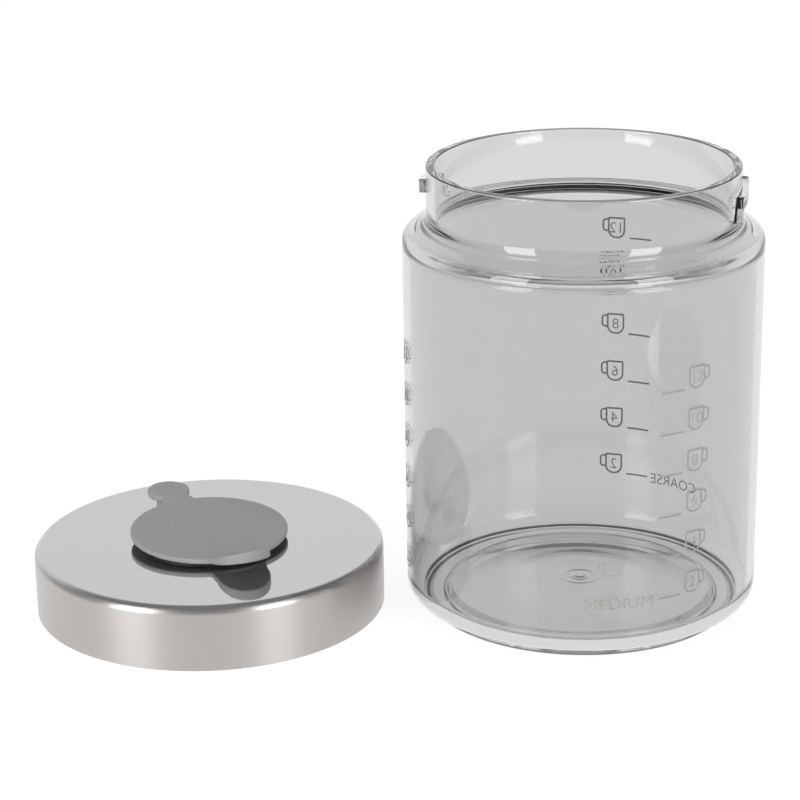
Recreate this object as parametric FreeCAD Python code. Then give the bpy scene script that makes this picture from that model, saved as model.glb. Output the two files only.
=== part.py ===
import FreeCAD, Part

import math
import os

# Grounds container of a coffee grinder: a tinted clear jar with a bayonet neck, and its steel lid
# lying beside it with the silicone cap of the outlet on top. Sizes are in millimetres. The jar stands
# on z = 0 with its axis on the origin, +Z is up, and -Y is the side of the jar that faces forward.

# Jar body, a stretch-blown moulding
JAR_HEIGHT = 127.5
BODY_R = 50.0
BODY_TAPER = 0.25
BODY_WALL = 2.0
BODY_CORNER_R = 3.6

# Jar base: a low foot ring, stepped in under the body, round a floor that is pushed up
BASE_WALL = 2.2
BASE_CORNER_R = 3.6
FLOOR_CORNER_R = 6.0
FOOT_HEIGHT = 2.5
FOOT_INSET = 5.95
FOOT_FLARE = 0.8
FOOT_WIDTH = 3.4
FOOT_EDGE_R = 0.6
FLOOR_STEP = 1.9
FLOOR_STEP_RUN = 1.0
FLOOR_STEP_R = 0.8
DOME_RISE = 1.3
DOME_BEND = 16.0

# Jar shoulder and neck
SHOULDER_WIDTH = 6.75
SHOULDER_SLOPE_DEG = 21.0
NECK_LENGTH = 16.0
NECK_WALL = 2.4
NECK_ROOT_FILLET = 4.5
RIM_ROUND_R = 0.5

# Bayonet lugs on the neck: a ramp that falls away from its free end to a leaning upright stop
LUG_COUNT = 2
LUG_STAND_OUT = 1.8
LUG_FREE_END_Y = 3.1
LUG_LENGTH = 17.1
LUG_DROP = 4.1
LUG_HEIGHT = 3.8
LUG_TOP_FALL = 2.2
LUG_BOTTOM_FALL = 1.8
LUG_STOP_WIDTH = 2.4
LUG_STOP_HEIGHT = 6.8
LUG_STOP_LEAN = 2.0
LUG_CORNER_R = 0.7

# Where the lid lies: the gap between jar and lid, and the direction from the jar's axis to the lid's
LID_GAP = 6.57
LID_BEARING_DEG = 184.431

# Lid shell, a drawn steel cup lying open side down
SHEET = 0.5
LID_EDGE_R = 2.4
HEM_R = 0.2
SHELL_BELOW_SKIRT = 1.6
SHELL_TO_SKIRT = 2.1
OUTLET_HOLE_PLAY = 0.1

# Lid liner, a moulded plate with a skirt, an outlet collar and bayonet ledges
PLATE_THICKNESS = 2.0
SKIRT_WALL = 1.7
SKIRT_CORNER_R = 1.5
SKIRT_BELOW_LEDGE = 1.6
LUG_PLAY = 0.6
NECK_PLAY = 0.45
LEDGE_THICKNESS = 2.0
LEDGE_SPAN_DEG = 24.0
LEDGE_PLAY = 0.2
LEDGE_EDGE_R = 0.3
FLANGE_THICKNESS = 1.5
FLANGE_PLAY = 0.05
COLLAR_DEPTH = 7.5
COLLAR_WALL = 1.4
COLLAR_LIP_HEIGHT = 1.1
LINER_EDGE_R = 0.4
LINER_ROOT_R = 0.6

# Seal ring in the liner, and the rib that locates it
SEAL_THICKNESS = 1.0
SEAL_OVERLAP_OUT = 0.9
SEAL_OVERLAP_IN = 0.7
SEAL_EDGE_R = 0.2
SEAL_RIB_PLAY = 0.2
SEAL_RIB_WALL = 1.0
SEAL_RIB_DEPTH = 1.7
SEAL_RIB_EDGE_R = 0.3

# Silicone outlet cap: disc, hollow tapered plug, pull tab and strap to its anchor button
CAP_OVERHANG = 3.1
CAP_THICKNESS = 1.5
CAP_EDGE_R = 0.3
CAP_LIP_PLAY = 0.15
CAP_TILT_DEG = 2.2
PLUG_TOP_PLAY = 0.3
PLUG_TAPER = 0.65
PLUG_DEPTH = 6.5
PLUG_WALL = 1.8
PLUG_ROOT_R = 0.3
PLUG_EDGE_R = 0.6
TETHER_DEG = 121.0
TAB_WIDTH = 15.6
TAB_LENGTH = 9.0
TAB_RISE_DEG = 24.0
TAB_BEND_R = 4.0
TAB_TIP_FLAT = 0.4
TAB_TIP_THICKNESS = 2.6
TAB_EDGE_R = 0.6
STRAP_WIDTH = 9.3
HINGE_FROM_CAP = 0.8
HINGE_GAP = 0.6
BUTTON_R = 6.2
BUTTON_STEP = 0.3
BUTTON_FROM_CAP = 2.2
BUTTON_TO_RIB = 1.85
STEM_R = 2.5
STEM_SHOULDER_STEP = 1.1
STEM_HOLE_PLAY = 0.1
STEM_HEAD_STEP = 1.3
STEM_HEAD_HEIGHT = 2.6
STEM_HEAD_EDGE_R = 0.3
STEM_TIP_STEP = 0.5
STEM_TIP_EDGE_R = 0.5

# Radii and heights of the jar
SLOPE = math.tan(math.radians(SHOULDER_SLOPE_DEG))
BODY_FOOT_R = BODY_R - BODY_TAPER
BODY_BORE_R = BODY_R - BODY_WALL
FOOT_R = BODY_FOOT_R - FOOT_INSET
FOOT_BORE_R = FOOT_R - FOOT_WIDTH
STEP_R = FOOT_BORE_R - FLOOR_STEP_RUN
DOME_TOP_Z = FLOOR_STEP + DOME_RISE
NECK_R = BODY_R - SHOULDER_WIDTH
NECK_BORE_R = NECK_R - NECK_WALL
NECK_ROOT_Z = JAR_HEIGHT - NECK_LENGTH
LUG_R = NECK_R + LUG_STAND_OUT
LUG_TOP_Z = JAR_HEIGHT - LUG_DROP
LUG_BOTTOM_Z = LUG_TOP_Z - LUG_HEIGHT
LUG_REACH_DOWN = LUG_DROP + LUG_HEIGHT + LUG_BOTTOM_FALL

# Radii of the lid, from the neck and its lugs outwards
SKIRT_BORE_R = LUG_R + LUG_PLAY
SKIRT_R = SKIRT_BORE_R + SKIRT_WALL
LID_BORE_R = SKIRT_R + SHELL_TO_SKIRT
LID_R = LID_BORE_R + SHEET

# Heights of the lid, from the table up: its ledges lie under the lugs when the seal is on the rim
LEDGE_BOTTOM_Z = SHELL_BELOW_SKIRT + SKIRT_BELOW_LEDGE
LEDGE_TOP_Z = LEDGE_BOTTOM_Z + LEDGE_THICKNESS
PLATE_UNDER_Z = LEDGE_TOP_Z + LEDGE_PLAY + LUG_REACH_DOWN + SEAL_THICKNESS
LID_UNDER_Z = PLATE_UNDER_Z + PLATE_THICKNESS
LID_HEIGHT = LID_UNDER_Z + SHEET

# Distances from the lid's axis, from the seal rib inwards: the button, the cap and the outlet
SEAL_RIB_R = NECK_BORE_R - SEAL_OVERLAP_IN - SEAL_RIB_PLAY
SEAL_RIB_BORE_R = SEAL_RIB_R - SEAL_RIB_WALL
BUTTON_OFFSET = SEAL_RIB_BORE_R - BUTTON_TO_RIB - BUTTON_R
CAP_R = BUTTON_OFFSET - BUTTON_R - BUTTON_FROM_CAP
COLLAR_R = CAP_R - CAP_OVERHANG
OUTLET_R = COLLAR_R - COLLAR_WALL
HINGE_OFFSET = CAP_R + HINGE_FROM_CAP
TAB_REACH = CAP_R + TAB_LENGTH
TAB_TIP_R = (TAB_WIDTH - TAB_TIP_FLAT) / 2

# Heights of the outlet and its cap before the cap's tilt, and radii of the anchor's stem
COLLAR_TOP_Z = LID_HEIGHT + COLLAR_LIP_HEIGHT
COLLAR_BOTTOM_Z = LID_UNDER_Z - COLLAR_DEPTH
CAP_UNDER_Z = COLLAR_TOP_Z + CAP_LIP_PLAY
CAP_TOP_Z = CAP_UNDER_Z + CAP_THICKNESS
CAP_TILT_AT = FreeCAD.Vector(COLLAR_R, 0, CAP_UNDER_Z)
STEM_HOLE_R = STEM_R + STEM_HOLE_PLAY
STEM_SHOULDER_R = STEM_R + STEM_SHOULDER_STEP
STEM_HEAD_R = STEM_R + STEM_HEAD_STEP
STEM_TIP_R = STEM_R - STEM_TIP_STEP

UP = FreeCAD.Vector(0, 0, 1)
ORIGIN = FreeCAD.Vector(0, 0, 0)
LID_DISTANCE = BODY_R + LID_GAP + LID_R
LID_BEARING = math.radians(LID_BEARING_DEG)
LID_PLACE = FreeCAD.Vector(LID_DISTANCE * math.cos(LID_BEARING), LID_DISTANCE * math.sin(LID_BEARING), 0)


def rounded_wire(corners, to_point):
    """Closed wire through (a, b, radius) corners, each rounded by an arc where its radius is not zero."""
    edges = []
    starts = []
    ends = []
    for index, (a, b, radius) in enumerate(corners):
        corner = FreeCAD.Vector(a, b, 0)
        if radius == 0:
            starts.append(corner)
            ends.append(corner)
            continue
        before = FreeCAD.Vector(*corners[index - 1][:2], 0) - corner
        after = FreeCAD.Vector(*corners[(index + 1) % len(corners)][:2], 0) - corner
        before.normalize()
        after.normalize()
        half = before.getAngle(after) / 2
        inward = before + after
        inward.normalize()
        centre = corner + inward * (radius / math.sin(half))
        start = corner + before * (radius / math.tan(half))
        end = corner + after * (radius / math.tan(half))
        middle = centre - inward * radius
        edges.append(Part.Arc(to_point(start), to_point(middle), to_point(end)).toShape())
        starts.append(start)
        ends.append(end)
    for index, end in enumerate(ends):
        start = starts[(index + 1) % len(starts)]
        if end.distanceToPoint(start) > 1e-6:
            edges.append(Part.LineSegment(to_point(end), to_point(start)).toShape())
    return Part.Wire(Part.__sortEdges__(edges))


def turned(corners):
    """Solid of revolution about Z from (r, z, radius) corners."""
    wire = rounded_wire(corners, lambda p: FreeCAD.Vector(p.x, 0, p.y))
    return Part.Face(wire).revolve(ORIGIN, UP, 360)


def tube(outer_r, inner_r, bottom_z, top_z):
    """Plain ring between two radii and two heights."""
    outer = Part.makeCylinder(outer_r, top_z - bottom_z, FreeCAD.Vector(0, 0, bottom_z))
    return outer.cut(Part.makeCylinder(inner_r, top_z - bottom_z, FreeCAD.Vector(0, 0, bottom_z)))


def shoulder_z(radius):
    """Height of the cone of the shoulder at a radius, before its rounds."""
    return NECK_ROOT_Z - (radius - NECK_R) * SLOPE


def jar_shell():
    """Body, shoulder and neck in one turned profile, with an even wall round the shoulder."""
    drop = BODY_WALL / math.cos(math.radians(SHOULDER_SLOPE_DEG))
    dome_turn = math.atan2(DOME_RISE, STEP_R / 2)
    dome_r = DOME_BEND / math.tan(dome_turn / 2)
    floor_z = FOOT_HEIGHT + BASE_WALL
    outside = [
        (0, DOME_TOP_Z, 0),
        (STEP_R / 2, DOME_TOP_Z, dome_r),
        (STEP_R, FLOOR_STEP, FLOOR_STEP_R),
        (FOOT_BORE_R, 0, FOOT_EDGE_R / 2),
        (FOOT_R, 0, FOOT_EDGE_R),
        (FOOT_R + FOOT_FLARE, FOOT_HEIGHT, FOOT_EDGE_R),
        (BODY_FOOT_R, FOOT_HEIGHT, BASE_CORNER_R),
        (BODY_R, shoulder_z(BODY_R), BODY_CORNER_R),
        (NECK_R, NECK_ROOT_Z, NECK_ROOT_FILLET),
        (NECK_R, JAR_HEIGHT, RIM_ROUND_R),
    ]
    inside = [
        (NECK_BORE_R, JAR_HEIGHT, RIM_ROUND_R),
        (NECK_BORE_R, shoulder_z(NECK_BORE_R) - drop, NECK_ROOT_FILLET + BODY_WALL),
        (BODY_BORE_R, shoulder_z(BODY_BORE_R) - drop, BODY_CORNER_R - BODY_WALL),
        (BODY_FOOT_R - BODY_WALL, floor_z, FLOOR_CORNER_R),
        (STEP_R, floor_z, FLOOR_STEP_R),
        (STEP_R / 2, DOME_TOP_Z + BASE_WALL, dome_r),
        (0, DOME_TOP_Z + BASE_WALL, 0),
    ]
    return turned(outside + inside)


def bayonet_lug():
    """Ramp and stop on the +X side of the neck, curved as the neck is."""
    stop_y = LUG_FREE_END_Y - LUG_LENGTH
    stop_top_z = LUG_TOP_Z - LUG_TOP_FALL
    foot_y = stop_y - LUG_STOP_LEAN
    foot_z = stop_top_z - LUG_STOP_HEIGHT
    root_z = LUG_BOTTOM_Z - LUG_BOTTOM_FALL
    root_y = foot_y + LUG_STOP_WIDTH + LUG_STOP_LEAN * (root_z - foot_z) / LUG_STOP_HEIGHT
    corners = [
        (LUG_FREE_END_Y, LUG_BOTTOM_Z, LUG_CORNER_R),
        (LUG_FREE_END_Y, LUG_TOP_Z, LUG_CORNER_R),
        (stop_y, stop_top_z, LUG_CORNER_R),
        (foot_y, foot_z, LUG_CORNER_R),
        (foot_y + LUG_STOP_WIDTH, foot_z, LUG_CORNER_R),
        (root_y, root_z, LUG_CORNER_R),
    ]
    wire = rounded_wire(corners, lambda p: FreeCAD.Vector(NECK_BORE_R, p.x, p.y))
    outline = Part.Face(wire).extrude(FreeCAD.Vector(NECK_R, 0, 0))
    ring = tube(LUG_R, NECK_R - NECK_WALL / 2, NECK_ROOT_Z - NECK_ROOT_FILLET, JAR_HEIGHT)
    return outline.common(ring)


def jar():
    """The moulded jar with its lugs evenly spaced round the neck."""
    shape = jar_shell()
    for index in range(LUG_COUNT):
        lug = bayonet_lug()
        lug.rotate(ORIGIN, UP, index * 360 / LUG_COUNT)
        shape = shape.fuse(lug)
    return shape.removeSplitter()


def anchor_point(radius):
    """Point above the lid's centre plane at a radius towards the tether."""
    angle = math.radians(TETHER_DEG)
    return FreeCAD.Vector(radius * math.cos(angle), radius * math.sin(angle), 0)


def stem_hole():
    """Cutter for the anchor's hole through the shell and the liner."""
    return Part.makeCylinder(STEM_HOLE_R, LID_HEIGHT, anchor_point(BUTTON_OFFSET))


def lid_shell():
    """Drawn steel cup with a rolled top edge, the outlet hole and the anchor hole."""
    profile = [
        (0, LID_HEIGHT, 0),
        (LID_R, LID_HEIGHT, LID_EDGE_R),
        (LID_R, 0, HEM_R),
        (LID_BORE_R, 0, HEM_R),
        (LID_BORE_R, LID_UNDER_Z, LID_EDGE_R - SHEET),
        (0, LID_UNDER_Z, 0),
    ]
    shape = turned(profile)
    hole_r = COLLAR_R + OUTLET_HOLE_PLAY
    shape = shape.cut(Part.makeCylinder(hole_r, LID_HEIGHT))
    return shape.cut(stem_hole())


def bayonet_ledge():
    """Inward ledge of the skirt on the +X side, which passes under a lug of the neck."""
    section = [
        (SKIRT_BORE_R + SKIRT_WALL / 2, LEDGE_TOP_Z, 0),
        (NECK_R + NECK_PLAY, LEDGE_TOP_Z, LEDGE_EDGE_R),
        (NECK_R + NECK_PLAY, LEDGE_BOTTOM_Z, LEDGE_EDGE_R),
        (SKIRT_BORE_R + SKIRT_WALL / 2, LEDGE_BOTTOM_Z, 0),
    ]
    wire = rounded_wire(section, lambda p: FreeCAD.Vector(p.x, 0, p.y))
    ledge = Part.Face(wire).revolve(ORIGIN, UP, LEDGE_SPAN_DEG)
    ledge.rotate(ORIGIN, UP, -LEDGE_SPAN_DEG / 2)
    return ledge


def lid_insert():
    """Liner: plate, skirt with a flange to the shell, outlet collar, seal rib and bayonet ledges."""
    rib_bottom_z = PLATE_UNDER_Z - SEAL_RIB_DEPTH
    flange_r = LID_BORE_R - FLANGE_PLAY
    flange_top_z = SHELL_BELOW_SKIRT + FLANGE_THICKNESS
    profile = [
        (OUTLET_R, COLLAR_BOTTOM_Z, LINER_EDGE_R),
        (OUTLET_R, COLLAR_TOP_Z, LINER_EDGE_R),
        (COLLAR_R, COLLAR_TOP_Z, LINER_EDGE_R),
        (COLLAR_R, LID_UNDER_Z, 0),
        (SKIRT_R, LID_UNDER_Z, SKIRT_CORNER_R),
        (SKIRT_R, flange_top_z, LINER_EDGE_R),
        (flange_r, flange_top_z, 0),
        (flange_r, SHELL_BELOW_SKIRT, LINER_EDGE_R),
        (SKIRT_BORE_R, SHELL_BELOW_SKIRT, LINER_EDGE_R),
        (SKIRT_BORE_R, PLATE_UNDER_Z, LINER_ROOT_R),
        (SEAL_RIB_R, PLATE_UNDER_Z, 0),
        (SEAL_RIB_R, rib_bottom_z, SEAL_RIB_EDGE_R),
        (SEAL_RIB_BORE_R, rib_bottom_z, SEAL_RIB_EDGE_R),
        (SEAL_RIB_BORE_R, PLATE_UNDER_Z, SEAL_RIB_EDGE_R),
        (COLLAR_R, PLATE_UNDER_Z, LINER_ROOT_R),
        (COLLAR_R, COLLAR_BOTTOM_Z, LINER_EDGE_R),
    ]
    shape = turned(profile)
    for index in range(LUG_COUNT):
        ledge = bayonet_ledge()
        ledge.rotate(ORIGIN, UP, index * 360 / LUG_COUNT)
        shape = shape.fuse(ledge)
    return shape.cut(stem_hole()).removeSplitter()


def seal_ring():
    """Flat silicone ring that the rim of the jar presses on."""
    inner_r = NECK_BORE_R - SEAL_OVERLAP_IN
    outer_r = NECK_R + SEAL_OVERLAP_OUT
    bottom_z = PLATE_UNDER_Z - SEAL_THICKNESS
    return turned([
        (inner_r, bottom_z, SEAL_EDGE_R),
        (outer_r, bottom_z, SEAL_EDGE_R),
        (outer_r, PLATE_UNDER_Z, SEAL_EDGE_R),
        (inner_r, PLATE_UNDER_Z, SEAL_EDGE_R),
    ])


def cap_disc():
    """Round disc of the cap with its hollow plug, tapered so that it swings clear of the collar."""
    plug_top_r = OUTLET_R - PLUG_TOP_PLAY
    plug_bottom_r = plug_top_r - PLUG_TAPER
    plug_bottom_z = CAP_UNDER_Z - PLUG_DEPTH
    return turned([
        (0, CAP_TOP_Z, 0),
        (CAP_R, CAP_TOP_Z, CAP_EDGE_R),
        (CAP_R, CAP_UNDER_Z, CAP_EDGE_R),
        (plug_top_r, CAP_UNDER_Z, PLUG_ROOT_R),
        (plug_bottom_r, plug_bottom_z, PLUG_EDGE_R),
        (plug_bottom_r - PLUG_WALL, plug_bottom_z, PLUG_EDGE_R),
        (plug_top_r - PLUG_WALL, CAP_UNDER_Z, PLUG_EDGE_R),
        (0, CAP_UNDER_Z, 0),
    ])


def cap_tab():
    """Pull tab, straight out of the disc away from the tether (+X here), rising to a thicker tip."""
    rise = math.tan(math.radians(TAB_RISE_DEG))
    root_x = CAP_R - CAP_THICKNESS
    tip_under_z = CAP_UNDER_Z + (TAB_REACH - root_x) * rise
    inner_x = CAP_R / 2
    side = [
        (inner_x, CAP_UNDER_Z, 0),
        (root_x, CAP_UNDER_Z, TAB_BEND_R),
        (TAB_REACH, tip_under_z, TAB_EDGE_R),
        (TAB_REACH, tip_under_z + TAB_TIP_THICKNESS, TAB_EDGE_R),
        (root_x, CAP_TOP_Z, TAB_BEND_R),
        (inner_x, CAP_TOP_Z, 0),
    ]
    half = TAB_WIDTH / 2
    wire = rounded_wire(side, lambda p: FreeCAD.Vector(p.x, -half, p.y))
    bent = Part.Face(wire).extrude(FreeCAD.Vector(0, TAB_WIDTH, 0))
    plan = [
        (0, -half, 0),
        (TAB_REACH, -half, TAB_TIP_R),
        (TAB_REACH, half, TAB_TIP_R),
        (0, half, 0),
    ]
    wire = rounded_wire(plan, lambda p: FreeCAD.Vector(p.x, p.y, 0))
    tongue = Part.Face(wire).extrude(FreeCAD.Vector(0, 0, LID_HEIGHT * 2))
    return bent.common(tongue)


def strap(from_x, to_x):
    """Length of the flat strap between two distances from the lid's centre, towards the tether (-X)."""
    corner = FreeCAD.Vector(-to_x, -STRAP_WIDTH / 2, CAP_UNDER_Z)
    return Part.makeBox(to_x - from_x, STRAP_WIDTH, CAP_THICKNESS, corner)


def tilt(shape):
    """Raise the tether's side (-X) of a flat silicone piece, which rests on the far side of the collar."""
    shape.rotate(CAP_TILT_AT, FreeCAD.Vector(0, 1, 0), CAP_TILT_DEG)
    return shape


def outlet_cap():
    """Disc, tab and the strap up to the hinge line, as one silicone moulding."""
    shape = cap_disc().fuse(cap_tab())
    shape = tilt(shape.fuse(strap(OUTLET_R, HINGE_OFFSET - HINGE_GAP / 2)))
    shape.rotate(ORIGIN, UP, TETHER_DEG - 180)
    return shape.removeSplitter()


def cap_anchor():
    """Button of the tether with its strap from the hinge line, and the stem snapped into the lid."""
    button = turned([
        (0, CAP_TOP_Z + BUTTON_STEP, 0),
        (BUTTON_R, CAP_TOP_Z + BUTTON_STEP, CAP_EDGE_R),
        (BUTTON_R, CAP_UNDER_Z, CAP_EDGE_R),
        (0, CAP_UNDER_Z, 0),
    ])
    button.translate(FreeCAD.Vector(-BUTTON_OFFSET, 0, 0))
    raised = tilt(button.fuse(strap(HINGE_OFFSET + HINGE_GAP / 2, BUTTON_OFFSET)))
    stem_top_z = CAP_UNDER_Z + (COLLAR_R + BUTTON_OFFSET) * math.sin(math.radians(CAP_TILT_DEG)) + CAP_THICKNESS / 2
    stem = turned([
        (0, stem_top_z, 0),
        (STEM_SHOULDER_R, stem_top_z, 0),
        (STEM_SHOULDER_R, LID_HEIGHT, 0),
        (STEM_R, LID_HEIGHT, 0),
        (STEM_R, PLATE_UNDER_Z, 0),
        (STEM_HEAD_R, PLATE_UNDER_Z, STEM_HEAD_EDGE_R),
        (STEM_TIP_R, PLATE_UNDER_Z - STEM_HEAD_HEIGHT, STEM_TIP_EDGE_R),
        (0, PLATE_UNDER_Z - STEM_HEAD_HEIGHT, 0),
    ])
    stem.translate(FreeCAD.Vector(-BUTTON_OFFSET, 0, 0))
    shape = raised.fuse(stem)
    shape.rotate(ORIGIN, UP, TETHER_DEG - 180)
    return shape.removeSplitter()


def on_lid(shape):
    """Move a piece of the lid from the lid's own axis to where the lid lies."""
    shape.translate(LID_PLACE)
    return shape


def main():
    """Write one STEP file for each piece."""
    os.makedirs("parts", exist_ok=True)
    pieces = {
        "jar": jar(),
        "lid_shell": on_lid(lid_shell()),
        "lid_insert": on_lid(lid_insert()),
        "seal_ring": on_lid(seal_ring()),
        "outlet_cap": on_lid(outlet_cap()),
        "cap_anchor": on_lid(cap_anchor()),
    }
    for name, shape in pieces.items():
        solid = shape.Solids[0]
        print(name, len(shape.Solids), solid.isValid(), round(shape.Volume), shape.BoundBox)
        shape.exportStep(os.path.join("parts", name + ".step"))


main()
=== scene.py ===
import logging
import math
from collections.abc import Callable, Sequence
from dataclasses import dataclass, field
from enum import Enum

import bmesh
import bpy
from mathutils import Matrix, Vector


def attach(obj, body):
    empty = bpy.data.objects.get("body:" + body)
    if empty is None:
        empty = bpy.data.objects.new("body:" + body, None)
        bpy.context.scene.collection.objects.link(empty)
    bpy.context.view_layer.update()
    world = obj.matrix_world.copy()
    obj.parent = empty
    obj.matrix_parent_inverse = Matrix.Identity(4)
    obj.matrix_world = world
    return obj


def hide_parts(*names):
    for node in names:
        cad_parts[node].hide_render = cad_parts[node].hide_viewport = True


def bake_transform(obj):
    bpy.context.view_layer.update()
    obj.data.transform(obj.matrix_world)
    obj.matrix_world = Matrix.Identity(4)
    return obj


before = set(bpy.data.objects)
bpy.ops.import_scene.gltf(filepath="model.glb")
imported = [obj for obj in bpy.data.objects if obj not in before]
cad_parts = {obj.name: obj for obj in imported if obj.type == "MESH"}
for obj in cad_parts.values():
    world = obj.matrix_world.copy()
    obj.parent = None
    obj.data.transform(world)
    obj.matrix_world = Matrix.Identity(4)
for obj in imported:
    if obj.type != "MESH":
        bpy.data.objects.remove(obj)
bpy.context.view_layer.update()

# Looks of the grounds container: a tinted clear jar with its printed cup scales, and beside it the
# steel lid with the silicone outlet cap. Sizes in the classes are in millimetres, as in the
# construction, and MM turns them into Blender's metres. +Z is up and the front of the jar faces -Y.

MM = 0.001
LOG = logging.getLogger("grounds_container")

Corner = tuple[float, float, float]
Point = tuple[float, float]


class Body(str, Enum):
    """The two bodies of the construction that pieces ride on."""

    CONTAINER = "container"
    CAP = "outlet_cap"


# Colour and nodes


def linear(hex_colour: str) -> tuple[float, float, float, float]:
    """Turn an sRGB hex colour into the linear colour that a shader takes.

    Args:
        hex_colour: Six hex digits, such as "929292".

    Returns:
        Red, green, blue and an alpha of 1.
    """
    channels = []
    for start in (0, 2, 4):
        value = int(hex_colour[start:start + 2], 16) / 255
        channels.append(value / 12.92 if value <= 0.04045 else ((value + 0.055) / 1.055) ** 2.4)
    return (*channels, 1.0)


def add_node(
    tree: bpy.types.NodeTree,
    kind: str,
    settings: dict[str | int, object] | None = None,
    links: dict[str | int, bpy.types.NodeSocket] | None = None,
) -> bpy.types.Node:
    """Add a node with its settings and its incoming links.

    Args:
        tree: The node tree that takes the node.
        kind: Blender's type name of the node.
        settings: Values by socket name, socket number or property name.
        links: Sockets that feed the node's inputs, by input name or number.

    Returns:
        The new node.
    """
    node = tree.nodes.new(kind)
    for key, value in (settings or {}).items():
        if isinstance(key, int) or key in node.inputs:
            node.inputs[key].default_value = value
        else:
            setattr(node, key, value)
    for key, socket in (links or {}).items():
        tree.links.new(socket, node.inputs[key])
    return node


def empty_material(name: str) -> tuple[bpy.types.Material, bpy.types.NodeTree]:
    """Make a material with no nodes in it.

    Args:
        name: Name of the real material and its finish.

    Returns:
        The material and its node tree.
    """
    material = bpy.data.materials.new(name)
    material.use_nodes = True
    material.node_tree.nodes.clear()
    return material, material.node_tree


@dataclass(frozen=True)
class ClearCopolyester:
    """Grey tinted clear copolyester, moulded in a polished tool, so glossy on both faces.

    Each wall takes a share of the light, so one wall reads pale grey and two read mid grey. A weak
    absorption in the depth darkens the edges and the base, where the light stays longer inside.
    """

    name: str = "copolyester_clear_grey"
    ior: float = 1.57
    wall_tint: str = "dbdada"
    depth_tint: str = "9a9a9c"
    density_per_m: float = 12.0

    def material(self) -> bpy.types.Material:
        """Return the clear material with its absorption."""
        material, tree = empty_material(self.name)
        shader = add_node(tree, "ShaderNodeBsdfPrincipled", {
            "Base Color": linear(self.wall_tint),
            "Roughness": 0.0,
            "IOR": self.ior,
            "Transmission Weight": 1.0,
        })
        depth = add_node(tree, "ShaderNodeVolumeAbsorption", {
            "Color": linear(self.depth_tint),
            "Density": self.density_per_m,
        })
        add_node(tree, "ShaderNodeOutputMaterial", links={
            "Surface": shader.outputs[0],
            "Volume": depth.outputs[0],
        })
        return material


@dataclass(frozen=True)
class PadPrintInk:
    """Grey pad-printing ink: an opaque, slightly satin film with the fine mottle that a pad leaves."""

    name: str
    colour: str
    mottle: str
    roughness: float = 0.45

    def material(self) -> bpy.types.Material:
        """Return the ink, its density a little uneven."""
        material, tree = empty_material(self.name)
        patches = add_node(tree, "ShaderNodeTexNoise", {"Scale": 1 / (0.25 * MM), "Detail": 2.0})
        tone = add_node(tree, "ShaderNodeMix", {
            "data_type": "RGBA",
            6: linear(self.colour),
            7: linear(self.mottle),
        }, {0: patches.outputs["Fac"]})
        shader = add_node(tree, "ShaderNodeBsdfPrincipled", {"Roughness": self.roughness}, {
            "Base Color": tone.outputs[2],
        })
        add_node(tree, "ShaderNodeOutputMaterial", links={"Surface": shader.outputs[0]})
        return material


@dataclass(frozen=True)
class PolishedSteel:
    """Stainless steel, mirror polished: a clear picture of the room, a little darker than it is."""

    name: str = "stainless_steel_polished"
    colour: str = "c1c1c3"
    roughness: float = 0.06

    def material(self) -> bpy.types.Material:
        """Return the polished steel with the faint waviness of drawn sheet."""
        material, tree = empty_material(self.name)
        place = add_node(tree, "ShaderNodeTexCoord")
        wave = add_node(tree, "ShaderNodeTexNoise", {"Scale": 1 / (30 * MM), "Detail": 1.0}, {
            "Vector": place.outputs["Object"],
        })
        bump = add_node(tree, "ShaderNodeBump", {"Strength": 0.02, "Distance": 0.5 * MM}, {
            "Height": wave.outputs["Fac"],
        })
        shader = add_node(tree, "ShaderNodeBsdfPrincipled", {
            "Base Color": linear(self.colour),
            "Metallic": 1.0,
            "Roughness": self.roughness,
        }, {"Normal": bump.outputs["Normal"]})
        add_node(tree, "ShaderNodeOutputMaterial", links={"Surface": shader.outputs[0]})
        return material


@dataclass(frozen=True)
class BrushedSteel:
    """Stainless steel brushed round its side with fine grit.

    The brushing smears reflections up and down, so the side shows soft upright bands crossed by
    hairlines. Real hairlines are under 0.1 mm apart; they are drawn 0.35 mm apart, the finest that
    still shows at this size.
    """

    name: str = "stainless_steel_brushed"
    colour: str = "bbb7b5"
    roughness: float = 0.34
    hairline_mm: float = 0.35

    def material(self) -> bpy.types.Material:
        """Return the brushed steel, its hairlines running round the object's own Z axis."""
        material, tree = empty_material(self.name)
        place = add_node(tree, "ShaderNodeTexCoord")
        stretched = add_node(tree, "ShaderNodeMapping", {
            "Scale": (30.0, 30.0, 1 / (self.hairline_mm * MM)),
        }, {"Vector": place.outputs["Object"]})
        hairlines = add_node(tree, "ShaderNodeTexNoise", {"Scale": 1.0, "Detail": 3.0}, {
            "Vector": stretched.outputs[0],
        })
        bump = add_node(tree, "ShaderNodeBump", {"Strength": 0.25, "Distance": 0.02 * MM}, {
            "Height": hairlines.outputs["Fac"],
        })
        rough = add_node(tree, "ShaderNodeMapRange", {
            "To Min": self.roughness - 0.06,
            "To Max": self.roughness + 0.08,
        }, {"Value": hairlines.outputs["Fac"]})
        along = add_node(tree, "ShaderNodeTangent", {"direction_type": "RADIAL", "axis": "Z"})
        shader = add_node(tree, "ShaderNodeBsdfPrincipled", {
            "Base Color": linear(self.colour),
            "Metallic": 1.0,
            "Anisotropic": 0.7,
            "Anisotropic Rotation": 0.25,
        }, {
            "Roughness": rough.outputs[0],
            "Normal": bump.outputs["Normal"],
            "Tangent": along.outputs[0],
        })
        add_node(tree, "ShaderNodeOutputMaterial", links={"Surface": shader.outputs[0]})
        return material


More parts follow.
